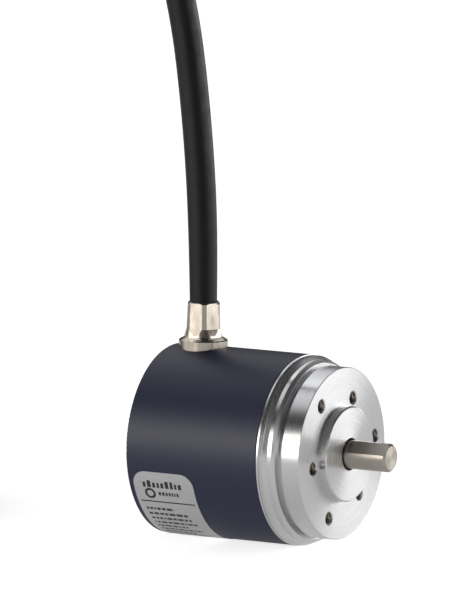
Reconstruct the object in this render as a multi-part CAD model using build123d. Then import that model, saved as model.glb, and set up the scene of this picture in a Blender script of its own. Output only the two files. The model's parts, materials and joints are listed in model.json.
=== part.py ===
"""Rotary encoder, 40 mm body and 6 mm solid shaft, with a radial cable.

The row frame: the origin is the centre of the mounting face, +X runs out along the shaft
and +Z points the way the cable gland does. The body lies on its side, so its lowest line
is at z = -BODY_R. Everything is in millimetres.
"""

import os
from math import cos, pi, radians, sin, sqrt, tan

from build123d import *

# ---------------------------------------------------------------- driving dimensions
BODY_R = 20.0  # cover and widest ring of the flange
COLLAR_R = 18.0  # clamping collar round the mounting face
SPIGOT_R = 10.0
SPIGOT_H = 2.0
SHAFT_R = 3.0
SHAFT_TIP_X = 11.8
JOURNAL_R = 2.8  # ground seat of the seal lip
JOURNAL_X = 2.2
FLAT_START_X = 2.8  # the D-flat runs from here to the tip
SHAFT_END_R = 2.98  # slip fit of the coupling, from the flat on
FLAT_HEIGHT = 2.5  # from the axis to the D-flat
FLAT_ANGLE = 132.0  # the flat's normal, from +Y towards +Z

RING_BACK_X = -9.1  # where the cover meets the flange
RIM_FRONT_X = -8.65  # the narrow 40 mm rim against the cover ends here
RIBS_X = (-7.6, -7.95, -8.3)  # fine turned ribs between the rim and the land
RIB_LOW_R = 19.7
RIB_TOP_R = 19.88
LAND_X = (-6.9, -6.0)  # plain band in front of the ribs
LAND_R = 19.1
GROOVE_BACK_X = -5.4
GROOVE_R = 16.8  # floor of the servo groove
COLLAR_BACK_X = -4.25
CAVITY_X = -8.0  # floor of the hollow behind the mounting face
CAVITY_R = 16.6
BOSS_R = 8.2  # bearing boss inside the hollow
BOSS_BACK_X = -17.9
FLANGE_BACK_X = -13.4  # end of the spigot that the cover slides over

# tapped holes in the mounting face: circle diameter and first angle of two sets of three
SCREW_CIRCLES = ((24.0, 69.0), (28.0, 9.0))
SCREW_COUNT = 3
TAP_R = 1.25
TAP_DEPTH = 5.5
TAP_SINK = 0.3

COVER_BACK_X = -40.5
COVER_WALL = 1.2
COVER_END = 1.7
COVER_EDGE_R = 0.4
COVER_IN_R = BODY_R - COVER_WALL
END_WALL_X = COVER_BACK_X + COVER_END

SHAFT_HOLE_R = 3.45  # the hole in the spigot that the shaft comes out of
SEAL_R = 5.5
SEAL_X = -1.0  # front of the seal's pocket
SEAL_T = 1.4
CLIP_X = -2.7
CLIP_GROOVE_R = 2.6

BEARING_R = 6.5  # 6 x 13 x 5 ball bearings
BEARING_W = 5.0
INNER_RING_R = 4.1
OUTER_RING_R = 5.4
BALL_CIRCLE_R = 4.75
BALL_R = 0.99
RACE_R = 1.03
BALL_COUNT = 7
SHIELD_R = 5.7
SHIELD_T = 0.25
FRONT_BEARING_X = -3.2  # front faces of the two bearings
SPACER_L = 3.0
REAR_BEARING_X = FRONT_BEARING_X - BEARING_W - SPACER_L
BEARING_BACK_X = REAR_BEARING_X - BEARING_W
RING_GROOVE_R = 6.9
RING_X = BEARING_BACK_X - 0.75
RING_T = 0.5

DISC_R = 11.6
DISC_T = 1.0
DISC_X = -19.4  # front face of the code disc
TRACK_R = 10.4
HUB_R = 7.0
SLEEVE_R = 4.6
SLEEVE_BACK_X = -24.6
CLAMP_ANGLES = (0.0, 120.0, 240.0)
CLAMP_SCREW_R = 0.5
CLAMP_SCREW_PCR = 5.8
CLAMP_RING_T = 0.7
SET_SCREW_ANGLES = (40.0, 160.0)
SET_SCREW_X = -22.9

CARRIER_Z = 11.2  # height of the optics carrier's two screws
CARRIER_SCREWS = (-6.0, 6.0)
CARRIER_FOOT = 1.6

COLUMN_R = 14.6  # circle of the three standoff columns
COLUMN_ANGLES = (30.0, 150.0, 270.0)
COLUMN_POST_R = 1.9
STUD_R = 1.0
SCREW_SHANK_R = 1.25
SCREW_HEAD_R = 2.3
SCREW_HEAD_T = 1.2
BOARD_R = 17.6
BOARD_T = 1.4
SENSOR_BOARD_X = -25.0
DRIVER_BOARD_X = -30.0
DRIVER_BOARD_TOP = 12.5  # cut flat here, under the gland nut

GLAND_X = -33.85
GLAND_COLLAR_R = 5.15
GLAND_STEM_R = 4.0
COLLAR_TOP_Z = 21.4
FLARE_R = 4.0  # foot of the flare on the collar
FLARE_Z = 22.0
NECK_LOW_R = 3.78  # the round under the six flats, where they start and at the mouth
NECK_TOP_R = 3.6
CRIMP_BORE_R = 2.9  # the crimp squeezes the cable to this
MOUTH_R = 3.12
GLAND_TOP_Z = 29.2
CRIMP_Z = 23.7  # the flats are full from here up
CRIMP_LOW_FLATS = 7.0
CRIMP_TOP_FLATS = 6.6
FADE_FLATS = 8.3
CRIMP_TURN = 3.0
NUT_FLATS = 9.5
NUT_LOW_Z = 15.0
NUT_HIGH_Z = 17.5
WASHER_R = 4.8

SOCKET_Z = (1.0, 6.4)
PLUG_TOP_Z = 8.4

CABLE_R = 3.1
CABLE_START_Z = 14.0
LEAD_R = 0.45
LEAD_COUNT = 8
LEAD_PITCH = 1.25

LABEL_T = 0.1
LABEL_X = (-39.2, -24.7)
LABEL_ANGLES = (193.0, 274.0)  # from +Y towards +Z: down the near side and under
LABEL_CORNER_R = 3.0

# The put-away length: an oval hank behind the body, in line with it.
FLOOR_Z = -BODY_R
HANK_NEAR_X = -92.0
HANK_L = 90.0
HANK_Y = -5.0
HANK_HALF_W = 30.0
HANK_BUNDLE = 12.4
HANK_H = 25.6
STRAP_W = 12.0
STRAP_T = 0.8
HANK_MID_X = HANK_NEAR_X - HANK_L / 2
HANK_TOP_Z = FLOOR_Z + HANK_H

# The free stretch of the cable, from inside the gland over to the hank.
CABLE_ROUTE = [
    (-33.85, 0.0, 14.0),
    (-33.85, 0.0, 40.0),
    (-35.9, 0.0, 67.0),
    (-39.6, -0.5, 93.0),
    (-47.0, -2.0, 116.0),
    (-62.0, -4.5, 134.0),
    (-84.0, -8.0, 137.5),
    (-102.5, -12.0, 125.0),
    (-111.0, -16.0, 103.0),
    (-116.5, -20.5, 79.0),
    (-122.5, -24.5, 56.0),
    (-130.5, -28.5, 34.5),
    (-143.0, -30.8, 18.4),
    (-162.4, -31.0, 10.9),
    (-177.6, -15.8, 9.3),
    (-177.6, 5.8, 8.7),
    (-162.4, 21.0, 8.1),
    (-145.0, 21.0, 5.9),
]
TAIL_ROUTE = [
    (-127.0, 17.5, 4.4),
    (-112.0, 19.0, 8.5),
    (-98.0, 5.0, 9.3),
    (-98.0, -15.0, 9.3),
    (-112.0, -28.5, 9.3),
    (-126.0, -29.5, 9.3),
]
SLEEVE_L = 12.0
SLEEVE_T = 0.4
CORE_R = 0.65
CORE_L = 22.0


# ---------------------------------------------------------------- helpers
def turned(points):
    """The solid that a closed outline of (x, radius) points sweeps round the shaft axis."""
    outline = Polyline([(x, 0, r) for x, r in points], close=True)
    return revolve(make_face(outline), Axis.X)


def ring(x0, x1, outer, inner=0.0):
    """A plain ring or disc about the shaft axis, between two x positions."""
    return turned([(x0, inner), (x1, inner), (x1, outer), (x0, outer)])


def rod(x0, x1, r, y=0.0, z=0.0):
    """A round bar along X, at a place in the Y-Z plane."""
    return Pos((x0 + x1) / 2, y, z) * Rot(0, 90, 0) * Cylinder(r, abs(x1 - x0))


def post(z0, z1, r, x=0.0, y=0.0):
    """A round bar along Z."""
    return Pos(x, y, (z0 + z1) / 2) * Cylinder(r, abs(z1 - z0))


def block(low, high):
    """A box between two opposite corners."""
    size = [abs(b - a) for a, b in zip(low, high)]
    middle = [(a + b) / 2 for a, b in zip(low, high)]
    return Pos(*middle) * Box(*size)


def polar(r, degrees):
    """The (y, z) of a point on a circle about the shaft axis."""
    return r * cos(radians(degrees)), r * sin(radians(degrees))


def around_x(shape, degrees):
    """The shape turned about the shaft axis, from +Y towards +Z."""
    return Rot(degrees, 0, 0) * shape


def together(shapes):
    """Separate solids kept as one group."""
    return Compound(children=[s for shape in shapes for s in shape.solids()])


def hexagon(flats, z0, z1, x=0.0, y=0.0, turn=0.0):
    """A hexagonal bar along Z."""
    face = Pos(x, y, z0) * Rot(0, 0, turn) * RegularPolygon(flats / sqrt(3), 6)
    return extrude(face, z1 - z0)


def tube_along(points, r):
    """A round tube along straight runs joined by arcs as large as the runs allow."""
    route = [Vector(*p) for p in points]
    radii = []
    for before, here, after in zip(route, route[1:], route[2:]):
        first, second = here - before, after - here
        turn = radians(first.get_angle(second))
        radii.append(0.45 * min(first.length, second.length) / tan(turn / 2))
    path = FilletPolyline(*route, radius=radii)
    section = Plane(origin=route[0], z_dir=route[1] - route[0]) * Circle(r)
    solid = sweep(section, path)
    print("  radii", [round(q, 1) for q in radii])
    print("  length", round(path.length, 1), "volume share", round(solid.volume / (pi * r * r * path.length), 4))
    return solid


# ---------------------------------------------------------------- flange and cover
def flange():
    ribs = [point for x in RIBS_X for point in ((x, RIB_LOW_R), (x - 0.17, RIB_TOP_R))]
    outline = [
        (SEAL_X, SHAFT_HOLE_R),
        (SPIGOT_H, SHAFT_HOLE_R),
        (SPIGOT_H, SPIGOT_R - 0.3),
        (SPIGOT_H - 0.3, SPIGOT_R),
        (0, SPIGOT_R),
        (0, COLLAR_R - 0.12),
        (-0.12, COLLAR_R),
        (COLLAR_BACK_X + 0.15, COLLAR_R),
        (COLLAR_BACK_X, COLLAR_R - 0.15),
        (COLLAR_BACK_X, GROOVE_R),
        (GROOVE_BACK_X, GROOVE_R),
        (GROOVE_BACK_X, LAND_R - (GROOVE_BACK_X - LAND_X[1])),
        (LAND_X[1], LAND_R),
        (LAND_X[0], LAND_R),
        *ribs,
        (RIM_FRONT_X + 0.05, RIB_LOW_R),
        (RIM_FRONT_X, BODY_R),
        (RING_BACK_X + 0.1, BODY_R),
        (RING_BACK_X, BODY_R - 0.1),
        (RING_BACK_X, COVER_IN_R),
        (FLANGE_BACK_X + 0.3, COVER_IN_R),
        (FLANGE_BACK_X, COVER_IN_R - 0.3),
        (FLANGE_BACK_X, CAVITY_R),
        (CAVITY_X, CAVITY_R),
        (CAVITY_X, BOSS_R),
        (BOSS_BACK_X, BOSS_R),
        (BOSS_BACK_X, BEARING_R),
        (FRONT_BEARING_X, BEARING_R),
        (FRONT_BEARING_X, SEAL_R),
        (SEAL_X, SEAL_R),
    ]
    body = turned(outline)
    body -= ring(-10.6, -12.0, COVER_IN_R, COVER_IN_R - 1.2)
    body -= ring(RING_X, RING_X - RING_T, RING_GROOVE_R)
    for pcd, first in SCREW_CIRCLES:
        for i in range(SCREW_COUNT):
            y, z = polar(pcd / 2, first + i * 360 / SCREW_COUNT)
            body -= rod(0, -TAP_DEPTH, TAP_R, y, z)
            body -= Pos(-TAP_SINK / 2, y, z) * Rot(0, 90, 0) * Cone(TAP_R, TAP_R + TAP_SINK, TAP_SINK)
    for angle in COLUMN_ANGLES:
        body -= rod(CAVITY_X, CAVITY_X + 1.4, STUD_R, *polar(COLUMN_R, angle))
    for y in CARRIER_SCREWS:
        body -= rod(CAVITY_X, CAVITY_X + 1.4, STUD_R, y, CARRIER_Z)
    return body


def cover():
    outline = [
        (COVER_BACK_X, 0),
        (COVER_BACK_X, BODY_R),
        (RING_BACK_X, BODY_R),
        (RING_BACK_X, COVER_IN_R),
        (END_WALL_X, COVER_IN_R),
        (END_WALL_X, 0),
    ]
    body = turned(outline)
    rear_edge = body.edges().filter_by(GeomType.CIRCLE).sort_by(Axis.X)[0]
    body = fillet(rear_edge, COVER_EDGE_R)
    front_edge = body.edges().filter_by(GeomType.CIRCLE).sort_by(Axis.X)[-2:].sort_by(SortBy.LENGTH)[-1]
    body = fillet(front_edge, 0.2)
    body -= post(COVER_IN_R - 2, BODY_R + 1, GLAND_STEM_R, GLAND_X)
    for angle in COLUMN_ANGLES:
        y, z = polar(COLUMN_R, angle)
        body -= rod(COVER_BACK_X, END_WALL_X, SCREW_SHANK_R, y, z)
        body -= countersunk_head(y, z)
    return body


def countersunk_head(y, z):
    """The cone that a rear screw's head fills."""
    middle = Pos(COVER_BACK_X + SCREW_HEAD_T / 2, y, z)
    return middle * Rot(0, 90, 0) * Cone(SCREW_HEAD_R, SCREW_SHANK_R, SCREW_HEAD_T)


def cover_screws():
    screws = []
    for angle in COLUMN_ANGLES:
        y, z = polar(COLUMN_R, angle)
        screw = countersunk_head(y, z)
        screw += rod(COVER_BACK_X + SCREW_HEAD_T, END_WALL_X + 4.0, SCREW_SHANK_R, y, z)
        for turn in (0, 90):
            slot = block((-0.5, -1.2, -0.22), (0.7, 1.2, 0.22))
            screw -= Pos(COVER_BACK_X, y, z) * Rot(turn, 0, 0) * slot
        screws.append(screw)
    return together(screws)


def cover_o_ring():
    loop = Pos(-11.3, 0, 0) * Rot(0, 90, 0) * Torus(COVER_IN_R - 0.6, 0.6)
    return loop


def label():
    start, end = LABEL_ANGLES
    x0, x1 = LABEL_X
    sheet = Rot(start, 0, 0) * revolve_part(x0, x1, BODY_R + LABEL_T, BODY_R, end - start)
    r = LABEL_CORNER_R
    corner_turn = r / BODY_R * 180 / pi
    for x, sx in ((x0, -1), (x1, 1)):
        for angle, sy in ((start, 1), (end, -1)):
            cut = block((0, 0, -3), (sx * (r + 1), sy * (r + 1), 3)) - post(-4, 4, r)
            cut = Pos(x - sx * r, 0, BODY_R) * cut
            sheet -= Rot(angle + sy * corner_turn - 90, 0, 0) * cut
    return sheet


def revolve_part(x0, x1, outer, inner, degrees):
    """A ring's sector, from +Y towards +Z."""
    points = [(x0, inner, 0), (x1, inner, 0), (x1, outer, 0), (x0, outer, 0)]
    return revolve(make_face(Polyline(points, close=True)), Axis.X, degrees)


# ---------------------------------------------------------------- shaft and bearings
def shaft():
    outline = [
        (SLEEVE_BACK_X, 0),
        (SHAFT_TIP_X, 0),
        (SHAFT_TIP_X, SHAFT_END_R - 0.45),
        (SHAFT_TIP_X - 0.45, SHAFT_END_R),
        (FLAT_START_X, SHAFT_END_R),
        (FLAT_START_X, SHAFT_R),
        (JOURNAL_X, SHAFT_R),
        (JOURNAL_X - 0.1, JOURNAL_R),
        (CLIP_X, JOURNAL_R),
        (CLIP_X, CLIP_GROOVE_R),
        (FRONT_BEARING_X, CLIP_GROOVE_R),
        (FRONT_BEARING_X, SHAFT_R),
        (SLEEVE_BACK_X + 0.3, SHAFT_R),
        (SLEEVE_BACK_X, SHAFT_R - 0.3),
    ]
    body = turned(outline)
    flat = block((FLAT_START_X, FLAT_HEIGHT, -5), (SHAFT_TIP_X + 1, 5, 5))
    return body - around_x(flat, FLAT_ANGLE)


def shaft_circlip():
    clip = ring(CLIP_X, FRONT_BEARING_X, 3.9, CLIP_GROOVE_R)
    return clip - block((-4, -0.9, -5), (-2, 0.9, 0))


def shaft_seal():
    outline = [
        (SEAL_X, JOURNAL_R + 0.03),
        (SEAL_X - 0.2, JOURNAL_R + 0.03),
        (SEAL_X - 0.7, 3.9),
        (SEAL_X - SEAL_T + 0.4, 3.9),
        (SEAL_X - SEAL_T + 0.4, 5.1),
        (SEAL_X - SEAL_T, 5.1),
        (SEAL_X - SEAL_T, SEAL_R),
        (SEAL_X, SEAL_R),
    ]
    return turned(outline)


def bearing_inner_ring(front):
    body = ring(front, front - BEARING_W, INNER_RING_R, SHAFT_R)
    return body - race(front)


def bearing_outer_ring(front):
    body = ring(front, front - BEARING_W, BEARING_R, OUTER_RING_R)
    body -= ring(front, front - SHIELD_T, SHIELD_R)
    body -= ring(front - BEARING_W, front - BEARING_W + SHIELD_T, SHIELD_R)
    return body - race(front)


def race(front):
    """The toroidal track that both rings share."""
    return Pos(front - BEARING_W / 2, 0, 0) * Rot(0, 90, 0) * Torus(BALL_CIRCLE_R, RACE_R)


def bearing_shields():
    shields = []
    for front in (FRONT_BEARING_X, REAR_BEARING_X):
        for x in (front, front - BEARING_W + SHIELD_T):
            shields.append(ring(x, x - SHIELD_T, SHIELD_R, INNER_RING_R + 0.1))
    return together(shields)


def bearing_balls(front):
    balls = []
    for i in range(BALL_COUNT):
        y, z = polar(BALL_CIRCLE_R, i * 360 / BALL_COUNT)
        balls.append(Pos(front - BEARING_W / 2, y, z) * Sphere(BALL_R))
    return together(balls)


def bearing_cage(front):
    middle = front - BEARING_W / 2
    body = ring(middle - 1.4, middle + 1.4, BALL_CIRCLE_R + 0.3, BALL_CIRCLE_R - 0.3)
    for i in range(BALL_COUNT):
        y, z = polar(BALL_CIRCLE_R, i * 360 / BALL_COUNT)
        body -= Pos(middle, y, z) * Sphere(BALL_R + 0.02)
    return body


def preload_spring():
    back = BEARING_BACK_X
    return turned([(back, 5.55), (back - 0.25, 5.55), (RING_X, 6.45), (RING_X + 0.25, 6.45)])


def retaining_ring():
    body = ring(RING_X, RING_X - RING_T, RING_GROOVE_R, 5.9)
    for y in (-1.9, 1.9):
        body += rod(RING_X, RING_X - RING_T, 0.9, y, -5.4)
    body -= block((RING_X - 1, -1.2, -8), (RING_X + 1, 1.2, 0))
    for y in (-1.9, 1.9):
        body -= rod(RING_X + 1, RING_X - 1, 0.4, y, -5.4)
    return body


# ---------------------------------------------------------------- code disc
def disc_hub():
    outline = [
        (BEARING_BACK_X, SHAFT_R),
        (BEARING_BACK_X, 4.0),
        (BOSS_BACK_X - 0.3, 4.0),
        (BOSS_BACK_X - 0.3, HUB_R),
        (DISC_X, HUB_R),
        (DISC_X, SLEEVE_R),
        (SLEEVE_BACK_X, SLEEVE_R),
        (SLEEVE_BACK_X, SHAFT_R),
    ]
    body = turned(outline)
    for angle in CLAMP_ANGLES:
        body -= rod(DISC_X, DISC_X + 0.9, CLAMP_SCREW_R, *polar(CLAMP_SCREW_PCR, angle))
    for angle in SET_SCREW_ANGLES:
        body -= around_x(post(0, 6, 1.0, SET_SCREW_X), angle - 90)
    return body


def code_disc():
    body = ring(DISC_X, DISC_X - DISC_T, DISC_R, SLEEVE_R)
    for angle in CLAMP_ANGLES:
        body -= rod(DISC_X, DISC_X - DISC_T, CLAMP_SCREW_R, *polar(CLAMP_SCREW_PCR, angle))
    return body


def disc_clamp_ring():
    front = DISC_X - DISC_T
    body = ring(front, front - CLAMP_RING_T, HUB_R, SLEEVE_R)
    for angle in CLAMP_ANGLES:
        body -= rod(front, front - CLAMP_RING_T, CLAMP_SCREW_R, *polar(CLAMP_SCREW_PCR, angle))
    return body


def disc_clamp_screws():
    front = DISC_X - DISC_T - CLAMP_RING_T
    screws = []
    for angle in CLAMP_ANGLES:
        y, z = polar(CLAMP_SCREW_PCR, angle)
        screw = rod(DISC_X + 0.8, front, CLAMP_SCREW_R, y, z)
        screw += rod(front, front - 0.55, 0.95, y, z)
        screw -= block((front - 0.6, y - 0.7, z - 0.12), (front - 0.3, y + 0.7, z + 0.12))
        screws.append(screw)
    return together(screws)


def hub_set_screws():
    screws = []
    for angle in SET_SCREW_ANGLES:
        screw = post(SHAFT_R, SLEEVE_R - 0.1, 1.0, SET_SCREW_X)
        screw -= hexagon(1.0, SLEEVE_R - 0.9, SLEEVE_R, SET_SCREW_X)
        screw -= ring(SET_SCREW_X - 2, SET_SCREW_X + 2, SHAFT_R)
        screws.append(around_x(screw, angle - 90))
    return together(screws)


# ---------------------------------------------------------------- optics
def optics_carrier():
    body = block((CAVITY_X, -3.6, 8.7), (-18.7, 3.6, 13.2))
    body += block((CAVITY_X, -7.8, 9.4), (CAVITY_X - CARRIER_FOOT, 7.8, 13.0))
    body -= ring(CAVITY_X + 1, -19, BOSS_R + 0.1)
    body -= rod(-9.5, -18.7, 1.2, 0, TRACK_R)
    body -= rod(-9.5, -13.2, 1.5, 0, TRACK_R)
    body -= rod(-16.4, -18.7, 1.6, 0, TRACK_R)
    for y in CARRIER_SCREWS:
        body -= rod(CAVITY_X, CAVITY_X - CARRIER_FOOT, STUD_R, y, CARRIER_Z)
    body -= block((-9.6, -0.5, TRACK_R), (-10.4, 0.5, 13.2))
    return body


def optics_screws():
    screws = []
    for y in CARRIER_SCREWS:
        head = CAVITY_X - CARRIER_FOOT
        screw = rod(CAVITY_X + 1.3, head, STUD_R, y, CARRIER_Z)
        screw += rod(head, head - 1.2, 1.75, y, CARRIER_Z)
        for turn in (0, 90):
            slot = block((-0.6, -1.0, -0.2), (0.1, 1.0, 0.2))
            screw -= Pos(head - 1.2 + 0.5, y, CARRIER_Z) * Rot(turn, 0, 0) * slot
        screws.append(screw)
    return together(screws)


def led_emitter():
    body = rod(-9.6, -12.2, 1.5, 0, TRACK_R)
    dome = Pos(-12.2, 0, TRACK_R) * Sphere(1.15)
    return body + dome


def collimator_lens():
    body = rod(-16.5, -17.6, 1.6, 0, TRACK_R)
    bulge = Pos(-16.2, 0, TRACK_R) * Sphere(2.2) & rod(-17.5, -18.6, 1.6, 0, TRACK_R)
    return body + bulge


def led_flex():
    body = block((-9.7, -1.6, 13.2), (SENSOR_BOARD_X, 1.6, 13.4))
    body += block((-9.7, -0.4, 11.9), (-10.3, 0.4, 13.2))
    return body


def mask_plate():
    body = block((-21.2, -2.6, 8.4), (-21.8, 2.6, 12.4))
    for i in range(4):
        y = -1.5 + i
        body -= block((-21.1, y - 0.3, 9.4), (-21.9, y + 0.3, 11.4))
    return body


def photodetector():
    body = block((-21.8, -3.0, 8.1), (-23.4, 3.0, 12.7))
    body += block((-23.4, -2.4, 8.6), (SENSOR_BOARD_X, 2.4, 12.2))
    return body


# ---------------------------------------------------------------- boards
def round_board(front, hole_r, top):
    body = ring(front, front - BOARD_T, BOARD_R, hole_r)
    body &= block((front - BOARD_T, -BOARD_R, -BOARD_R), (front, BOARD_R, top))
    for angle in COLUMN_ANGLES:
        body -= rod(front, front - BOARD_T, STUD_R, *polar(COLUMN_R, angle))
    return body


def chips(face, way, places):
    """Flat packages on a board's face: each place is (y, z, width, height, thickness)."""
    bodies = []
    for y, z, w, h, t in places:
        chip = block(
            (min(face, face + way * t), y - w / 2, z - h / 2),
            (max(face, face + way * t), y + w / 2, z + h / 2),
        )
        bodies.append(chip)
    return together(bodies)


def sensor_chips():
    back = SENSOR_BOARD_X - BOARD_T
    return chips(back, -1, [(-8, -4, 5, 4, 1.2), (8, -4, 5, 4, 1.2), (0, -9, 4, 5, 1.2)])


def sensor_passives():
    back = SENSOR_BOARD_X - BOARD_T
    places = [(-9 + 3 * i, 2.5, 1.2, 2.0, 0.7) for i in range(7) if i != 3]
    places += [(-5 + 2.5 * i, -13, 1.2, 2.0, 0.7) for i in range(2)]
    return chips(back, -1, places)


def driver_chips():
    back = DRIVER_BOARD_X - BOARD_T
    return chips(back, -1, [(-8.5, -3, 6, 5, 1.5), (8.5, -3, 6, 5, 1.5)])


def driver_passives():
    back = DRIVER_BOARD_X - BOARD_T
    places = [(-7 + 2.8 * i, -8.5, 1.3, 2.2, 0.8) for i in range(6)]
    body = chips(back, -1, places)
    cans = [rod(back, back - 4.5, 2.0, y, -12.5) for y in (-6.5, 6.5)]
    return together([body, *cans])


def pin_header():
    front, back = SENSOR_BOARD_X - BOARD_T, DRIVER_BOARD_X
    bars = [block((front, -6.5, 5.6), (back, 6.5, 8.0))]
    return together(bars)


def standoffs(front, back, stud_front, stud_back):
    """Three posts, each with a stud that goes through or into what is in front of it."""
    posts = []
    for angle in COLUMN_ANGLES:
        y, z = polar(COLUMN_R, angle)
        body = rod(front, back, COLUMN_POST_R, y, z)
        body += rod(front, front + stud_front, STUD_R, y, z)
        body -= rod(back, back + stud_back, STUD_R, y, z)
        posts.append(body)
    return together(posts)


def rear_standoffs():
    front = DRIVER_BOARD_X - BOARD_T
    posts = []
    for angle in COLUMN_ANGLES:
        y, z = polar(COLUMN_R, angle)
        body = rod(front, END_WALL_X, COLUMN_POST_R, y, z)
        body += rod(front, front + BOARD_T + 1.5, STUD_R, y, z)
        body -= rod(END_WALL_X, END_WALL_X + 4.4, SCREW_SHANK_R, y, z)
        posts.append(body)
    return together(posts)


# ---------------------------------------------------------------- gland and leads
def gland_ferrule():
    """A crimped sleeve: six flats that lean in towards its mouth and fade out on the flare below."""
    outline = [
        (CRIMP_BORE_R, NUT_LOW_Z - 0.6),
        (GLAND_STEM_R, NUT_LOW_Z - 0.6),
        (GLAND_STEM_R, 19.0),
        (GLAND_COLLAR_R, 19.0),
        (GLAND_COLLAR_R, COLLAR_TOP_Z - 0.2),
        (GLAND_COLLAR_R - 0.2, COLLAR_TOP_Z),
        (FLARE_R + 0.2, FLARE_Z - 0.15),
        (FLARE_R, FLARE_Z),
        (NECK_LOW_R, CRIMP_Z),
        (NECK_TOP_R, GLAND_TOP_Z - 0.3),
        (NECK_TOP_R - 0.2, GLAND_TOP_Z - 0.08),
        (MOUTH_R + 0.1, GLAND_TOP_Z),
        (MOUTH_R, GLAND_TOP_Z),
        (MOUTH_R, GLAND_TOP_Z - 0.5),
        (CRIMP_BORE_R, GLAND_TOP_Z - 0.5),
    ]
    face = make_face(Polyline([(r, 0, z) for r, z in outline], close=True))
    body = Pos(GLAND_X, 0, 0) * revolve(face, Axis.Z)
    body -= saddle_tool(BODY_R)
    sections = ((FLARE_Z - 0.3, FADE_FLATS), (CRIMP_Z, CRIMP_LOW_FLATS), (GLAND_TOP_Z + 0.5, CRIMP_TOP_FLATS))
    faces = [
        Pos(GLAND_X, 0, z) * Rot(0, 0, CRIMP_TURN) * RegularPolygon(flats / sqrt(3), 6)
        for z, flats in sections
    ]
    crimp = loft(faces[:2]) + loft(faces[1:])
    below = post(NUT_LOW_Z - 1, FLARE_Z - 0.3, GLAND_COLLAR_R + 1, GLAND_X)
    return body & (crimp + below)


def saddle_tool(r):
    """The wall under the gland's collar, open where the stem goes through."""
    wall = ring(GLAND_X - 8, GLAND_X + 8, r, COVER_IN_R - 3)
    wall &= block((GLAND_X - 8, -8, 10), (GLAND_X + 8, 8, 25))
    return wall - post(10, 25, GLAND_STEM_R, GLAND_X)


def gland_seal():
    return Pos(GLAND_X, 0, 0) * revolve(
        make_face(
            Polyline(
                [
                    (CRIMP_BORE_R, 0, GLAND_TOP_Z - 0.5),
                    (MOUTH_R, 0, GLAND_TOP_Z - 0.5),
                    (MOUTH_R, 0, GLAND_TOP_Z + 0.12),
                    (MOUTH_R - 0.08, 0, GLAND_TOP_Z + 0.22),
                    (CRIMP_BORE_R, 0, GLAND_TOP_Z + 0.3),
                ],
                close=True,
            )
        ),
        Axis.Z,
    )


def gland_washer():
    body = post(NUT_HIGH_Z, BODY_R, WASHER_R, GLAND_X) - post(NUT_HIGH_Z, BODY_R, GLAND_STEM_R, GLAND_X)
    return body & ring(GLAND_X - 8, GLAND_X + 8, COVER_IN_R)


def gland_nut():
    body = hexagon(NUT_FLATS, NUT_LOW_Z, NUT_HIGH_Z, GLAND_X, 0, 30)
    return body - post(NUT_LOW_Z, NUT_HIGH_Z, GLAND_STEM_R, GLAND_X)


def lead_socket():
    back = DRIVER_BOARD_X - BOARD_T
    half = LEAD_COUNT * LEAD_PITCH / 2 + 0.8
    body = block((back, -half, SOCKET_Z[0]), (back - 4.0, half, SOCKET_Z[1]))
    return body - block((back - 0.8, -half + 0.6, SOCKET_Z[0] + 1), (back - 3.4, half - 0.6, SOCKET_Z[1]))


def lead_plug():
    back = DRIVER_BOARD_X - BOARD_T
    half = LEAD_COUNT * LEAD_PITCH / 2 + 0.2
    return block((back - 0.8, -half, SOCKET_Z[0] + 1), (back - 3.4, half, PLUG_TOP_Z))


def inner_leads():
    """The cable's cores, fanned out from its end to the plug."""
    end_x = DRIVER_BOARD_X - BOARD_T - 2.1
    leads = []
    for i in range(LEAD_COUNT):
        low_y = (i - (LEAD_COUNT - 1) / 2) * LEAD_PITCH
        top_y = low_y * 0.5
        top_x = GLAND_X + (0.8 if i % 2 else -0.8)
        points = [
            (top_x, top_y, CABLE_START_Z),
            (top_x, top_y, CABLE_START_Z - 1.6),
            (end_x, low_y, PLUG_TOP_Z + 1.4),
            (end_x, low_y, PLUG_TOP_Z),
        ]
        path = FilletPolyline(*points, radius=0.9)
        section = Plane(origin=points[0], z_dir=(0, 0, -1)) * Circle(LEAD_R)
        leads.append(sweep(section, path))
    return together(leads)


# ---------------------------------------------------------------- cable
def oval(half_w, z0, z1):
    """A stadium-shaped slab: the outline of the hank at a distance from its middle line."""
    straight = HANK_L - 2 * HANK_HALF_W
    body = block(
        (HANK_MID_X - straight / 2, HANK_Y - half_w, z0),
        (HANK_MID_X + straight / 2, HANK_Y + half_w, z1),
    )
    for way in (-1, 1):
        body += post(z0, z1, half_w, HANK_MID_X + way * straight / 2, HANK_Y)
    return body


def strap_shape(grow, x_grow=0.0):
    """A box round each straight side of the hank."""
    low_z, high_z = FLOOR_Z, HANK_TOP_Z
    boxes = []
    for way in (-1, 1):
        middle = HANK_Y + way * (HANK_HALF_W - HANK_BUNDLE / 2)
        half = HANK_BUNDLE / 2
        boxes.append(
            block(
                (HANK_MID_X - STRAP_W / 2 - x_grow, middle - half - grow, low_z + STRAP_T - grow),
                (HANK_MID_X + STRAP_W / 2 + x_grow, middle + half + grow, high_z - STRAP_T + grow),
            )
        )
    return boxes


def hank_ties():
    straps = []
    for outer, inner in zip(strap_shape(0.0), strap_shape(-STRAP_T, 1.0)):
        outer &= block((-300, -300, FLOOR_Z), (0, 300, HANK_TOP_Z))
        straps.append(outer - inner)
    return together(straps)


def cable():
    """The free stretch, squeezed where the crimp holds it."""
    crimp = post(10, GLAND_TOP_Z + 0.3, CABLE_R + 1, GLAND_X) - post(10, GLAND_TOP_Z + 0.3, CRIMP_BORE_R, GLAND_X)
    return tube_along(CABLE_ROUTE, CABLE_R) - crimp


def cable_hank():
    body = oval(HANK_HALF_W, FLOOR_Z, HANK_TOP_Z)
    body -= oval(HANK_HALF_W - HANK_BUNDLE, FLOOR_Z, HANK_TOP_Z)
    return body - hank_ties()


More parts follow.
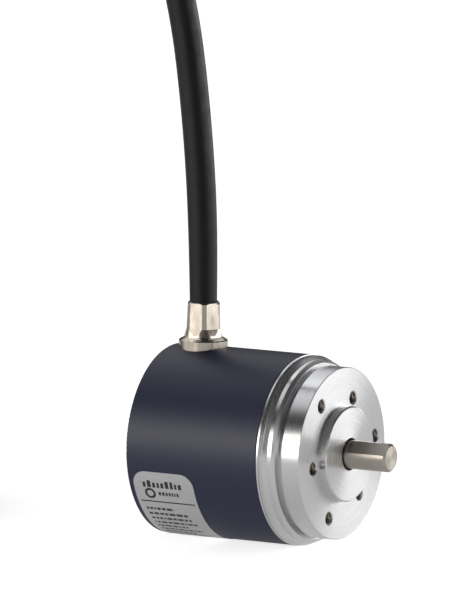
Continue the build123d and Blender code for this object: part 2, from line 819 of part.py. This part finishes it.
def tail_point(distance, side=0.0, lift=0.0):
    """A place past the tail's end, along it and to one side."""
    end = Vector(*TAIL_ROUTE[-1])
    along = (end - Vector(*TAIL_ROUTE[-2])).normalized()
    across = Vector(0, 0, 1).cross(along)
    return end + along * distance + across * side + Vector(0, 0, lift)


def end_sleeve():
    start = tail_point(-SLEEVE_L / 3)
    wall = Circle(CABLE_R + SLEEVE_T) - Circle(CABLE_R)
    return extrude(Plane(origin=start, z_dir=tail_point(0) - start) * wall, SLEEVE_L * 0.55)


def end_cores():
    cores = []
    for i in range(LEAD_COUNT):
        side = (i - (LEAD_COUNT - 1) / 2) * 0.62
        lift = 0.75 if i % 2 else -0.75
        spread = (i - (LEAD_COUNT - 1) / 2) * 1.7
        points = [
            tail_point(0, side, lift),
            tail_point(5, side, lift),
            tail_point(13, (side + spread) / 2, -0.6 + lift / 3),
            tail_point(CORE_L, spread, -1.6),
        ]
        section = Plane(origin=points[0], z_dir=points[1] - points[0]) * Circle(CORE_R)
        cores.append(sweep(section, FilletPolyline(*points, radius=6.0)))
    return together(cores)


# ---------------------------------------------------------------- all the nodes
def nodes():
    made = {
        "flange": flange(),
        "cover": cover(),
        "cover_screws": cover_screws(),
        "cover_o_ring": cover_o_ring(),
        "label": label(),
        "shaft": shaft(),
        "shaft_circlip": shaft_circlip(),
        "shaft_seal": shaft_seal(),
        "bearing_shields": bearing_shields(),
        "inner_spacer": ring(REAR_BEARING_X, REAR_BEARING_X + SPACER_L, 3.9, SHAFT_R),
        "outer_spacer": ring(REAR_BEARING_X, REAR_BEARING_X + SPACER_L, BEARING_R, 5.8),
        "preload_spring": preload_spring(),
        "retaining_ring": retaining_ring(),
        "disc_hub": disc_hub(),
        "code_disc": code_disc(),
        "disc_clamp_ring": disc_clamp_ring(),
        "disc_clamp_screws": disc_clamp_screws(),
        "hub_set_screws": hub_set_screws(),
        "optics_carrier": optics_carrier(),
        "optics_screws": optics_screws(),
        "led_emitter": led_emitter(),
        "collimator_lens": collimator_lens(),
        "led_flex": led_flex(),
        "mask_plate": mask_plate(),
        "photodetector": photodetector(),
        "sensor_board": round_board(SENSOR_BOARD_X, SHAFT_R + 0.8, BOARD_R),
        "sensor_chips": sensor_chips(),
        "sensor_passives": sensor_passives(),
        "driver_board": round_board(DRIVER_BOARD_X, 0.0, DRIVER_BOARD_TOP),
        "driver_chips": driver_chips(),
        "driver_passives": driver_passives(),
        "pin_header": pin_header(),
        "front_standoffs": standoffs(CAVITY_X, SENSOR_BOARD_X, 1.3, 2.0),
        "middle_standoffs": standoffs(SENSOR_BOARD_X - BOARD_T, DRIVER_BOARD_X, BOARD_T + 1.5, 2.0),
        "rear_standoffs": rear_standoffs(),
        "gland_ferrule": gland_ferrule(),
        "gland_seal": gland_seal(),
        "gland_washer": gland_washer(),
        "gland_nut": gland_nut(),
        "lead_socket": lead_socket(),
        "lead_plug": lead_plug(),
        "inner_leads": inner_leads(),
        "cable": cable(),
        "cable_hank": cable_hank(),
        "cable_tail": tube_along(TAIL_ROUTE, CABLE_R),
        "hank_ties": hank_ties(),
        "end_sleeve": end_sleeve(),
        "end_cores": end_cores(),
    }
    for name, front in (("front", FRONT_BEARING_X), ("rear", REAR_BEARING_X)):
        made[f"{name}_bearing_inner_ring"] = bearing_inner_ring(front)
        made[f"{name}_bearing_outer_ring"] = bearing_outer_ring(front)
        made[f"{name}_bearing_balls"] = bearing_balls(front)
        made[f"{name}_bearing_cage"] = bearing_cage(front)
    return made


os.makedirs("parts", exist_ok=True)
for name, shape in nodes().items():
    export_step(shape, f"parts/{name}.step")
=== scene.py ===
"""The rotary encoder's looks: camera, cable, threads, label print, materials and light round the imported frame."""

import json
from math import cos, pi, radians, sin
from random import Random

import bpy
from mathutils import Matrix, Vector


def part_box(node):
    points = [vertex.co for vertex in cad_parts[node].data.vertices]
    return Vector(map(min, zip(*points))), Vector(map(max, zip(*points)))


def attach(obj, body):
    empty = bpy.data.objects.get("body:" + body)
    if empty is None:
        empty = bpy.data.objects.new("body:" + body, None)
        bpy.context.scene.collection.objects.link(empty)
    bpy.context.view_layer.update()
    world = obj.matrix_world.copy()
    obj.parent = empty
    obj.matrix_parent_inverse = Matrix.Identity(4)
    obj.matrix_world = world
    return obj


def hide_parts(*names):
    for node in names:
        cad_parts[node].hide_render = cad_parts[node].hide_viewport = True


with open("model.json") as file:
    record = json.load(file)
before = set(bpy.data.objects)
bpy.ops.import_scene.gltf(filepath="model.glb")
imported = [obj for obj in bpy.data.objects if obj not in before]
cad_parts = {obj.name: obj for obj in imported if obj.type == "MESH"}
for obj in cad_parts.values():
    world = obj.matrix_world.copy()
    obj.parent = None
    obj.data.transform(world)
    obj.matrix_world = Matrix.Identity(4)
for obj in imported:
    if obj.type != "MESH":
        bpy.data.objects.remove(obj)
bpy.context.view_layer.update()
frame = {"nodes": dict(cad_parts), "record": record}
NODES = frame["nodes"]
MM = 0.001


def direction(azimuth, elevation):
    """A unit vector. Azimuth 0 is from the front, -Y, and grows towards +X; both are in degrees."""
    az, el = radians(azimuth), radians(elevation)
    return Vector((sin(az) * cos(el), -cos(az) * cos(el), sin(el)))


def new_object(name, data):
    made = bpy.data.objects.new(name, data)
    bpy.context.scene.collection.objects.link(made)
    return made


# ------------------------------------------------------------------ camera
# A long lens from the front and the right, a little above the shaft's axis. Lengths are in metres.
VIEW_TARGET = Vector((-0.02117, -0.00786, 0.03094))
VIEW_AZIMUTH = 30.46
VIEW_ELEVATION = 7.29
VIEW_ROLL = 0.76
VIEW_DISTANCE = 1.871
SENSOR_MM = 36.0
FOCAL_SHARE = 14.9  # focal length over the picture's longer side
CLIP_NEAR = 0.01
CLIP_FAR = 100


def make_camera():
    data = bpy.data.cameras.new("camera")
    data.sensor_width = SENSOR_MM
    data.lens = SENSOR_MM * FOCAL_SHARE
    data.clip_start = CLIP_NEAR
    data.clip_end = CLIP_FAR
    camera = new_object("camera", data)
    out = direction(VIEW_AZIMUTH, VIEW_ELEVATION)
    turn = out.to_track_quat("Z", "Y").to_matrix().to_4x4()
    roll = Matrix.Rotation(radians(VIEW_ROLL), 4, "Z")
    camera.matrix_world = Matrix.Translation(VIEW_TARGET + out * VIEW_DISTANCE) @ turn @ roll
    bpy.context.scene.camera = camera


make_camera()

# ------------------------------------------------------------------ cable
CABLE_D = 0.0062
CABLE_R = CABLE_D / 2
CRIMP_SQUEEZE = 0.85  # the first point's share of the cable's radius
# Control points in mm: out of the gland, up and over, then down behind to the hank's top turn.
FREE_ROUTE = [
    (-33.85, 0.0, 14.0),
    (-33.85, 0.0, 40.0),
    (-35.9, 0.0, 67.0),
    (-39.6, -0.5, 93.0),
    (-47.0, -2.0, 116.0),
    (-62.0, -4.5, 134.0),
    (-84.0, -8.0, 137.5),
    (-102.5, -12.0, 125.0),
    (-111.0, -16.0, 103.0),
    (-116.5, -20.5, 79.0),
    (-122.5, -24.5, 56.0),
    (-130.5, -28.5, 34.5),
    (-143.0, -30.8, 18.4),
    (-162.4, -31.0, 10.9),
    (-177.6, -15.8, 9.3),
    (-177.6, 5.8, 8.7),
    (-162.4, 21.0, 8.1),
    (-145.0, 21.0, 5.9),
]
# Control points in mm: the last stretch lies on the hank and ends at the sleeve.
TAIL_ROUTE = [
    (-127.0, 17.5, 4.4),
    (-112.0, 19.0, 8.5),
    (-98.0, 5.0, 9.3),
    (-98.0, -15.0, 9.3),
    (-112.0, -28.5, 9.3),
    (-126.0, -29.5, 9.3),
]
TURN_POINTS = 16  # control points in one turn of the hank
COLUMNS = 2
LAYERS = 4
HANK_LIFT = 0.0008  # from the bottom of the hank's box to its lowest turn


def straight_side(share):
    """1 or -1 on the oval's right or left half, and 0 where the halves meet."""
    return (share > 0.01) - (share < -0.01)


def hank_turns():
    """Eight turns of a tied oval: down the outer column, then up the inner one."""
    low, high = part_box("cable_hank")
    middle = (low + high) / 2
    outer_r = (high.y - low.y) / 2 - CABLE_R
    straight = (high.x - low.x - (high.y - low.y)) / 2
    floor = low.z + HANK_LIFT + CABLE_R
    points = []
    # each turn starts on the far straight, where the free stretch comes in
    for column in range(COLUMNS):
        r = outer_r - column * CABLE_D
        bulge = r / cos(pi / TURN_POINTS)  # the curve runs inside its control points
        for layer in range(LAYERS):
            level = LAYERS - 1 - layer if column == 0 else layer
            step = -1 if column == 0 else 1
            if layer == LAYERS - 1:
                step = 0
            for i in range(TURN_POINTS):
                share = i / TURN_POINTS
                angle = pi / 2 - 2 * pi * i / TURN_POINTS
                x = middle.x + bulge * cos(angle) + straight * straight_side(cos(angle))
                y = middle.y + bulge * sin(angle)
                points.append(Vector((x, y, floor + CABLE_D * (level + step * share))))
    return points


def make_cable():
    free = [Vector(p) * MM for p in FREE_ROUTE]
    tail = [Vector(p) * MM for p in TAIL_ROUTE]
    points = free + hank_turns() + tail
    data = bpy.data.curves.new("cable_run", "CURVE")
    data.dimensions = "3D"
    data.bevel_depth = 1.0  # times each point's radius, which Blender also adds to the curve's bounds
    data.bevel_resolution = 8
    data.resolution_u = 10
    data.use_fill_caps = True
    spline = data.splines.new("NURBS")
    spline.points.add(len(points) - 1)
    for point, place in zip(spline.points, points):
        point.co = (*place, 1)
        point.radius = CABLE_R
    spline.points[0].radius = CRIMP_SQUEEZE * CABLE_R
    spline.order_u = 3
    spline.use_endpoint_u = True
    cable = new_object("cable_run", data)
    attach(cable, "stator")
    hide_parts("cable", "cable_hank", "cable_tail")
    return cable


cable = make_cable()


# ------------------------------------------------------------------ threads, in mm
SCREW_CIRCLES = ((24.0, 69.0), (28.0, 9.0))  # diameter and first angle of two sets of three tapped holes
SET_HOLES = 3
THREAD_ROOT_R = 1.27
THREAD_CREST_R = 1.02
THREAD_PITCH = 0.5
THREAD_CREST = 0.04  # half the width of the rib's crest
THREAD_START = -0.35
THREAD_TURNS = 9
TURN_STEPS = 24


def new_piece(name, verts, faces, body):
    mesh = bpy.data.meshes.new(name)
    mesh.from_pydata([Vector(v) * MM for v in verts], [], faces)
    mesh.validate()
    piece = new_object(name, mesh)
    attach(piece, body)
    return piece


def wind_thread(verts, faces, cy, cz):
    """One V-shaped rib wound along -X round (cy, cz); it grows and fades over its first and last turn."""
    base = len(verts)
    last = THREAD_TURNS * TURN_STEPS
    for i in range(last + 1):
        turn = 2 * pi * i / TURN_STEPS
        x = THREAD_START - THREAD_PITCH * i / TURN_STEPS
        fade = min(1, i / TURN_STEPS, (last - i) / TURN_STEPS)
        crest_r = THREAD_ROOT_R - (THREAD_ROOT_R - THREAD_CREST_R) * fade
        profile = (
            (THREAD_PITCH / 2, THREAD_ROOT_R),
            (THREAD_CREST, crest_r),
            (-THREAD_CREST, crest_r),
            (-THREAD_PITCH / 2, THREAD_ROOT_R),
        )
        for dx, r in profile:
            verts.append((x + dx, cy + r * cos(turn), cz + r * sin(turn)))
        if i:
            for k in range(len(profile) - 1):
                a = base + 4 * (i - 1) + k
                faces.append((a, a + 1, a + 5, a + 4))


def make_threads():
    """An M3 thread in each tapped hole."""
    verts, faces = [], []
    for pcd, first in SCREW_CIRCLES:
        for hole in range(SET_HOLES):
            at = radians(first + 360 / SET_HOLES * hole)
            wind_thread(verts, faces, pcd / 2 * cos(at), pcd / 2 * sin(at))
    return new_piece("hole_threads", verts, faces, "stator")


# ------------------------------------------------------------------ label print, in mm along X and degrees from +Y
LABEL_R = 20.1
PRINT_R = LABEL_R + 0.012
PATCH_STEP = 1.5  # degrees between a patch's rows of points
PRINT_SEED = 11
SMALL_ROWS = 10
SMALL_ROW_START = 218.5
SMALL_ROW_STEP = 4.6
SMALL_ROW_HEIGHT = 2.0


def label_bar(verts, faces, x0, x1, a0, a1):
    """A printed patch that follows the label, from x0 to x1 and from angle a0 to a1."""
    rows = max(1, round((a1 - a0) / PATCH_STEP))
    for i in range(rows + 1):
        angle = radians(a0 + (a1 - a0) * i / rows)
        for x in (x0, x1):
            verts.append((x, PRINT_R * cos(angle), PRINT_R * sin(angle)))
        if i:
            n = len(verts)
            faces.append((n - 4, n - 3, n - 1, n - 2))


def label_row(verts, faces, dice, start, end, widths, gap, low, high, late=(), cut=False):
    """Bars of random widths in a row. late lists how far from low a bar may start; cut stops the last bar at end."""
    x = start
    while x < end:
        width = dice.uniform(*widths)
        first = low + dice.choice(late) if late else low
        label_bar(verts, faces, x, min(x + width, end) if cut else x + width, first, high)
        x += width + gap


def label_ring(verts, faces, x, angle, inner_r, outer_r, steps):
    base = len(verts)
    for i in range(steps):
        turn = 2 * pi * i / steps
        for r in (inner_r, outer_r):
            at = radians(angle) + r * sin(turn) / LABEL_R
            verts.append((x + r * cos(turn), PRINT_R * cos(at), PRINT_R * sin(at)))
    for i in range(steps):
        inner, outer = 2 * i, 2 * i + 1
        next_inner, next_outer = (inner + 2) % (2 * steps), (outer + 2) % (2 * steps)
        faces.append((base + inner, base + outer, base + next_outer, base + next_inner))


def make_label_print():
    """Generic print: a rule, two rows of plain bars and a round mark, then finer rows down to the edge."""
    verts, faces = [], []
    dice = Random(PRINT_SEED)
    label_bar(verts, faces, x0=-38.4, x1=-25.4, a0=213.0, a1=213.9)
    label_row(
        verts,
        faces,
        dice,
        start=-37.0,
        end=-28.4,
        widths=(0.45, 0.95),
        gap=0.38,
        low=198.6,
        high=203.2,
        late=(0, 0, 1.2),
    )
    label_row(verts, faces, dice, start=-33.6, end=-28.8, widths=(0.3, 0.6), gap=0.26, low=206.0, high=208.4)
    label_ring(verts, faces, x=-35.6, angle=207.4, inner_r=0.75, outer_r=1.3, steps=20)
    for row in range(SMALL_ROWS):
        low = SMALL_ROW_START + row * SMALL_ROW_STEP
        end = dice.uniform(-31.5, -26.8)
        high = low + SMALL_ROW_HEIGHT
        label_row(verts, faces, dice, -37.8, end, widths=(0.35, 1.5), gap=0.3, low=low, high=high, cut=True)
    return new_piece("label_print", verts, faces, "stator")


threads = make_threads()
label_print = make_label_print()


# ------------------------------------------------------------------ materials
MIX_LOW, MIX_HIGH, MIX_COLOUR_OUT = 6, 7, 2  # the Mix node's colour sockets
ACROSS = 0.25  # of a turn, from along a turned surface's marks to across them


class Shader:
    """One principled material and the nodes that vary it."""

    def __init__(self, name, colour, metallic=0.0, roughness=0.5, **sockets):
        self.name = name
        self.material = bpy.data.materials.new(name)
        self.material.use_nodes = True
        self.tree = self.material.node_tree
        self.bsdf = self.tree.nodes["Principled BSDF"]
        self.colour = (*colour, 1)
        self.set("Base Color", self.colour)
        self.set("Metallic", metallic)
        self.set("Roughness", roughness)
        for socket, value in sockets.items():
            self.set(socket.replace("_", " "), value)
        self.material.diffuse_color = self.colour
        self.material.metallic = metallic
        self.material.roughness = roughness
        self.place = self.node("ShaderNodeTexCoord").outputs["Object"]

    def set(self, socket, value):
        self.bsdf.inputs[socket].default_value = value

    def node(self, kind, **settings):
        node = self.tree.nodes.new(kind)
        for key, value in settings.items():
            setattr(node, key, value)
        return node

    def link(self, output, node, socket):
        self.tree.links.new(output, node.inputs[socket])

    def math(self, operation, a, b=None):
        node = self.node("ShaderNodeMath", operation=operation)
        for i, value in enumerate((a, b)):
            if isinstance(value, (int, float)):
                node.inputs[i].default_value = value
            elif value is not None:
                self.link(value, node, i)
        return node.outputs[0]

    def axes(self):
        split = self.node("ShaderNodeSeparateXYZ")
        self.link(self.place, split, 0)
        return split.outputs

    def radius(self, y, z):
        """The distance from the X axis."""
        return self.math("SQRT", self.math("ADD", self.math("MULTIPLY", y, y), self.math("MULTIPLY", z, z)))

    def noise(self, size_mm, detail=3.0, stretch=(1, 1, 1)):
        """Noise whose blotches are about size_mm across, longer along an axis with a small stretch."""
        mapping = self.node("ShaderNodeMapping")
        mapping.inputs["Scale"].default_value = stretch
        self.link(self.place, mapping, "Vector")
        noise = self.node("ShaderNodeTexNoise")
        noise.inputs["Scale"].default_value = 1 / MM / size_mm
        noise.inputs["Detail"].default_value = detail
        self.link(mapping.outputs[0], noise, "Vector")
        return noise.outputs["Fac"]

    def rings(self, size_mm):
        """Tool marks left by turning: noise that only changes with the distance from and along the X axis."""
        x, y, z = self.axes()
        noise = self.node("ShaderNodeTexNoise", noise_dimensions="1D")
        noise.inputs["Scale"].default_value = 1.0
        noise.inputs["Detail"].default_value = 3.0
        along = self.math("MULTIPLY", self.math("ADD", self.radius(y, z), x), 1 / MM / size_mm)
        self.link(along, noise, "W")
        return noise.outputs["Fac"]

    def spread(self, value, low, high, start=0.3, end=0.7):
        """Maps start to end, where most of a noise's values lie, onto low to high."""
        node = self.node("ShaderNodeMapRange")
        self.link(value, node, "Value")
        for socket, number in (("From Min", start), ("From Max", end), ("To Min", low), ("To Max", high)):
            node.inputs[socket].default_value = number
        return node.outputs[0]

    def tint(self, value, amount, other=None):
        """Varies the colour between darker and lighter, or towards another colour."""
        mix = self.node("ShaderNodeMix", data_type="RGBA")
        low = other or [c * (1 - amount) for c in self.colour[:3]]
        high = self.colour[:3] if other else [min(1, c * (1 + amount)) for c in self.colour[:3]]
        mix.inputs[MIX_LOW].default_value = (*low, 1)
        mix.inputs[MIX_HIGH].default_value = (*high, 1)
        self.link(value, mix, 0)
        self.link(mix.outputs[MIX_COLOUR_OUT], self.bsdf, "Base Color")

    def rough(self, value, low, high):
        self.link(self.spread(value, low, high), self.bsdf, "Roughness")

    def bump(self, value, height_mm):
        """Relief from value, on top of any relief the material already has."""
        bump = self.node("ShaderNodeBump")
        bump.inputs["Distance"].default_value = height_mm * MM
        bump.inputs["Strength"].default_value = 1.0
        previous = self.bsdf.inputs["Normal"].links
        if previous:
            self.link(previous[0].from_socket, bump, "Normal")
        self.link(value, bump, "Height")
        self.link(bump.outputs[0], self.bsdf, "Normal")

    def turned(self, amount):
        """Highlights drawn out across the turning marks round the X axis."""
        tangent = self.node("ShaderNodeTangent", direction_type="RADIAL", axis="X")
        self.link(tangent.outputs[0], self.bsdf, "Tangent")
        self.set("Anisotropic", amount)
        self.set("Anisotropic Rotation", ACROSS)


def lathe(name, colour, roughness, size_mm, tint, height_mm, low=-0.05, high=0.06, drawn=0.5):
    """Turned metal. low and high are how far its marks move the roughness, drawn how far they stretch highlights."""
    s = Shader(name, colour, 1.0, roughness)
    s.turned(drawn)
    marks = s.rings(size_mm)
    s.tint(s.spread(marks, 0, 1), tint)
    s.rough(marks, roughness + low, roughness + high)
    s.bump(marks, height_mm)
    return s


def plain(name, colour, metallic, roughness, grain_mm, tint, height_mm, **sockets):
    """A surface with one fine grain that varies its colour, roughness and relief."""
    s = Shader(name, colour, metallic, roughness, **sockets)
    grain = s.noise(grain_mm, 4)
    s.tint(s.spread(grain, 0, 1), tint)
    s.rough(grain, max(0.02, roughness - 0.06), min(1, roughness + 0.06))
    s.bump(grain, height_mm)
    return s


def cover_paint():
    s = Shader("cover_paint", (0.009, 0.0125, 0.042), 0.0, 0.45, Specular_IOR_Level=0.5)
    grain = s.noise(0.35, 4)
    s.tint(s.spread(grain, 0, 1), 0.25)
    s.rough(grain, 0.40, 0.50)
    s.bump(grain, 0.016)
    return s


def nickel_plate():
    s = Shader("nickel_plate", (0.62, 0.555, 0.475), 1.0, 0.22)
    cloud = s.noise(1.6, 5, (1, 1, 0.4))
    s.tint(s.spread(cloud, 0, 1), 0.07)
    s.rough(cloud, 0.16, 0.30)
    s.bump(s.noise(0.25, 3), 0.003)
    return s


def cable_jacket():
    s = Shader("cable_jacket", (0.0065, 0.0055, 0.006), 0.0, 0.42, Specular_IOR_Level=0.25)
    cloud = s.noise(6, 4)
    s.tint(s.spread(cloud, 0, 1), 0.3)
    s.rough(s.noise(2.0, 4), 0.36, 0.5)
    s.bump(s.noise(0.3, 3), 0.01)
    return s


def label_foil():
    s = Shader("label_foil", (0.54, 0.54, 0.55), 0.6, 0.42)
    cloud = s.noise(0.6, 3, (0.2, 1, 1))
    s.tint(s.spread(cloud, 0, 1), 0.05)
    s.rough(cloud, 0.36, 0.48)
    s.bump(s.noise(3.0, 2), 0.01)
    return s


def disc_glass():
    """Glass with a chrome track of fine radial lines near its rim."""
    track_lines, track_r, track_half = 360, 0.0104, 0.0008
    s = Shader("disc_glass", (0.62, 0.70, 0.72), 0.0, 0.06, Specular_IOR_Level=0.6, Alpha=0.55)
    x, y, z = s.axes()
    wave = s.math("SINE", s.math("MULTIPLY", s.math("ARCTAN2", z, y), track_lines))
    lines = s.math("GREATER_THAN", wave, 0)
    off_track = s.math("ABSOLUTE", s.math("SUBTRACT", s.radius(y, z), track_r))
    chrome = s.math("MULTIPLY", lines, s.math("LESS_THAN", off_track, track_half))
    s.tint(s.math("SUBTRACT", 1, chrome), 0, (0.03, 0.03, 0.035))
    s.link(s.spread(chrome, 0.55, 1, 0, 1), s.bsdf, "Alpha")
    return s


def strap_hook_loop():
    s = Shader("strap_hook_loop", (0.02, 0.02, 0.022), 0.0, 0.95, Sheen_Weight=0.35, Sheen_Roughness=0.5)
    fuzz = s.noise(0.35, 6)
    s.tint(s.spread(fuzz, 0, 1), 0.6)
    s.bump(fuzz, 0.15)
    s.bump(s.noise(1.2, 2, (1, 0.3, 0.3)), 0.1)
    return s


def lead_insulation():
    """Every core has a colour of its own."""
    colours = (
        (0.75, 0.75, 0.72),
        (0.10, 0.045, 0.02),
        (0.02, 0.22, 0.05),
        (0.75, 0.55, 0.02),
        (0.18, 0.18, 0.19),
        (0.75, 0.25, 0.32),
        (0.01, 0.06, 0.38),
        (0.5, 0.015, 0.015),
    )
    s = Shader("lead_insulation", (0.6, 0.6, 0.6), 0.0, 0.38)
    geometry = s.node("ShaderNodeNewGeometry")
    ramp = s.node("ShaderNodeValToRGB")
    ramp.color_ramp.interpolation = "CONSTANT"
    stops = ramp.color_ramp.elements
    while len(stops) < len(colours):
        stops.new(1.0)
    for i, colour in enumerate(colours):
        stops[i].position = i / len(colours)
        stops[i].color = (*colour, 1)
    s.link(geometry.outputs["Random Per Island"], ramp, 0)
    s.link(ramp.outputs[0], s.bsdf, "Base Color")
    s.rough(s.noise(0.8, 3), 0.32, 0.45)
    s.bump(s.noise(0.4, 3), 0.006)
    return s


SHADERS = {
    s.name: s.material
    for s in (
        lathe("flange_aluminium", (0.76, 0.76, 0.77), 0.3, 0.16, 0.02, 0.0009, high=0.03, drawn=0.8),
        cover_paint(),
        lathe("shaft_steel", (0.50, 0.46, 0.41), 0.38, 0.2, 0.04, 0.0006, low=-0.04, high=0.04),
        nickel_plate(),
        cable_jacket(),
        label_foil(),
        lathe("bearing_steel", (0.62, 0.62, 0.63), 0.18, 0.2, 0.05, 0.002),
        plain("spring_steel", (0.45, 0.44, 0.43), 1.0, 0.3, 0.6, 0.08, 0.003),
        plain("screw_zinc", (0.62, 0.63, 0.65), 1.0, 0.32, 0.4, 0.1, 0.004),
        lathe("standoff_brass", (0.72, 0.50, 0.20), 0.26, 0.3, 0.05, 0.002),
        plain("seal_rubber", (0.012, 0.012, 0.012), 0.0, 0.6, 0.3, 0.3, 0.01),
        lathe("hub_aluminium", (0.80, 0.80, 0.81), 0.3, 0.3, 0.05, 0.002),
        disc_glass(),
        plain("lens_plastic", (0.75, 0.78, 0.80), 0.0, 0.08, 2.0, 0.04, 0.001, Transmission_Weight=0.6, IOR=1.49),
        plain("moulding_black", (0.015, 0.015, 0.016), 0.0, 0.45, 0.3, 0.25, 0.01),
        plain("connector_natural", (0.72, 0.66, 0.52), 0.0, 0.4, 0.8, 0.08, 0.006),
        plain("board_green", (0.01, 0.09, 0.035), 0.0, 0.28, 0.9, 0.2, 0.01, Coat_Weight=0.4),
        plain("chip_epoxy", (0.02, 0.02, 0.021), 0.0, 0.55, 0.2, 0.3, 0.008),
        plain("passive_ceramic", (0.42, 0.32, 0.22), 0.0, 0.4, 0.3, 0.15, 0.006),
        plain("flex_amber", (0.40, 0.17, 0.03), 0.0, 0.3, 0.9, 0.12, 0.004),
        lead_insulation(),
        strap_hook_loop(),
        plain("cage_polyamide", (0.10, 0.19, 0.10), 0.0, 0.45, 0.5, 0.12, 0.008),
    )
}
# The threads' dark brown metal, far darker than the flange around them, is painted shade inside the tapped holes.
THREAD_PAINTED_SHADE = plain("thread_painted_shade", (0.30, 0.26, 0.22), 1.0, 0.34, 0.3, 0.2, 0.003).material
LABEL_INK = plain("label_ink", (0.02, 0.02, 0.022), 0.0, 0.5, 0.3, 0.3, 0.003).material

for part in frame["record"]["subparts"]:
    slots = NODES[part["node"]].data.materials
    slots.clear()
    slots.append(SHADERS[part["material_slot"]])
cable.data.materials.append(SHADERS["cable_jacket"])
threads.data.materials.append(THREAD_PAINTED_SHADE)
label_print.data.materials.append(LABEL_INK)


# ------------------------------------------------------------------ stage and light
WHITE = (1, 1, 1, 1)
FLOOR_HALF = 3.0
FLOOR_ALBEDO = 0.75  # what the object's light meets
FLOOR_SEEN_ALBEDO = 0.85  # what the camera sees
FLOOR_SHINE = 0.26  # the floor's own light as it falls on the object
FLOOR_GLOW = 0.75  # the floor's own light as the camera sees it
ROOM = 0.035  # the dim room round the soft boxes
# Soft boxes in the sky, all angles in degrees; soft is half the width of a box's blurred edge.
BOXES = (
    dict(azimuth=-125, elevation=50, half_w=42, half_h=22, soft=6, strength=0.85, colour=(0.97, 0.98, 1)),
    dict(azimuth=-92, elevation=64, half_w=24, half_h=9, soft=8, strength=0.6, colour=(0.97, 0.98, 1)),
    dict(azimuth=-34, elevation=1, half_w=34, half_h=20, soft=8, strength=4.2, colour=(1, 0.97, 0.93)),
    dict(azimuth=124, elevation=7, half_w=46, half_h=9, soft=4, strength=4.4, colour=(1, 0.99, 0.98)),
)


def make_floor():
    """A white table under the cover: the camera sees it brighter than the object does."""
    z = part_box("cover")[0].z
    corners = [(x * FLOOR_HALF, y * FLOOR_HALF, z) for x, y in ((-1, -1), (1, -1), (1, 1), (-1, 1))]
    mesh = bpy.data.meshes.new("floor")
    mesh.from_pydata(corners, [], [(0, 1, 2, 3)])
    floor = new_object("floor", mesh)
    s = Shader("floor", (0.8, 0.8, 0.8), 0.0, 0.9, Specular_IOR_Level=0.1, Emission_Color=WHITE)
    camera_ray = s.node("ShaderNodeLightPath").outputs["Is Camera Ray"]
    s.link(s.spread(camera_ray, FLOOR_ALBEDO, FLOOR_SEEN_ALBEDO, 0, 1), s.bsdf, "Base Color")
    s.link(s.spread(camera_ray, FLOOR_SHINE, FLOOR_GLOW, 0, 1), s.bsdf, "Emission Strength")
    floor.data.materials.append(s.material)


class Sky:
    """The world: a dim room with soft boxes for the object, and plain white for the camera."""

    def __init__(self):
        world = bpy.data.worlds.new("world")
        bpy.context.scene.world = world
        world.use_nodes = True
        self.tree = world.node_tree
        self.place = self.tree.nodes.new("ShaderNodeTexCoord").outputs["Generated"]

    def math(self, operation, a, b=0.0):
        node = self.tree.nodes.new("ShaderNodeMath")
        node.operation = operation
        for i, value in enumerate((a, b)):
            if isinstance(value, (int, float)):
                node.inputs[i].default_value = value
            else:
                self.tree.links.new(value, node.inputs[i])
        return node.outputs[0]

    def along(self, axis):
        node = self.tree.nodes.new("ShaderNodeVectorMath")
        node.operation = "DOT_PRODUCT"
        self.tree.links.new(self.place, node.inputs[0])
        node.inputs[1].default_value = axis
        return node.outputs["Value"]

    def within(self, offset, half, soft):
        """1 inside an angle of half, 0 outside it, with a smooth edge; offset is a tangent."""
        edge = self.tree.nodes.new("ShaderNodeMapRange")
        edge.interpolation_type = "SMOOTHSTEP"
        self.tree.links.new(offset, edge.inputs["Value"])
        edge.inputs["From Min"].default_value = sin(radians(half - soft)) / cos(radians(half - soft))
        edge.inputs["From Max"].default_value = sin(radians(half + soft)) / cos(radians(half + soft))
        edge.inputs["To Min"].default_value = 1
        edge.inputs["To Max"].default_value = 0
        return edge.outputs[0]

    def box(self, azimuth, elevation, half_w, half_h, soft, strength, colour):
        out = direction(azimuth, elevation)
        right = direction(azimuth + 90, 0)
        up = out.cross(right).normalized() * -1
        facing = self.math("MAXIMUM", self.along(out), 0.001)
        shares = [
            self.within(self.math("ABSOLUTE", self.math("DIVIDE", self.along(axis), facing)), half, soft)
            for axis, half in ((right, half_w), (up, half_h))
        ]
        light = self.background(colour)
        power = self.math("MULTIPLY", self.math("MULTIPLY", *shares), strength)
        self.tree.links.new(power, light.inputs["Strength"])
        return light.outputs[0]

    def background(self, colour):
        node = self.tree.nodes.new("ShaderNodeBackground")
        node.inputs["Color"].default_value = (*colour[:3], 1)
        return node

    def finish(self, room, boxes):
        light = self.tree.nodes["Background"]
        light.inputs["Color"].default_value = WHITE
        light.inputs["Strength"].default_value = room
        total = light.outputs[0]
        for box in boxes:
            add = self.tree.nodes.new("ShaderNodeAddShader")
            self.tree.links.new(total, add.inputs[0])
            self.tree.links.new(self.box(**box), add.inputs[1])
            total = add.outputs[0]
        mix = self.tree.nodes.new("ShaderNodeMixShader")
        camera_ray = self.tree.nodes.new("ShaderNodeLightPath").outputs["Is Camera Ray"]
        self.tree.links.new(camera_ray, mix.inputs[0])
        self.tree.links.new(total, mix.inputs[1])
        self.tree.links.new(self.background(WHITE).outputs[0], mix.inputs[2])
        self.tree.links.new(mix.outputs[0], self.tree.nodes["World Output"].inputs[0])


make_floor()
Sky().finish(ROOM, BOXES)
bpy.context.scene.view_settings.view_transform = "Standard"
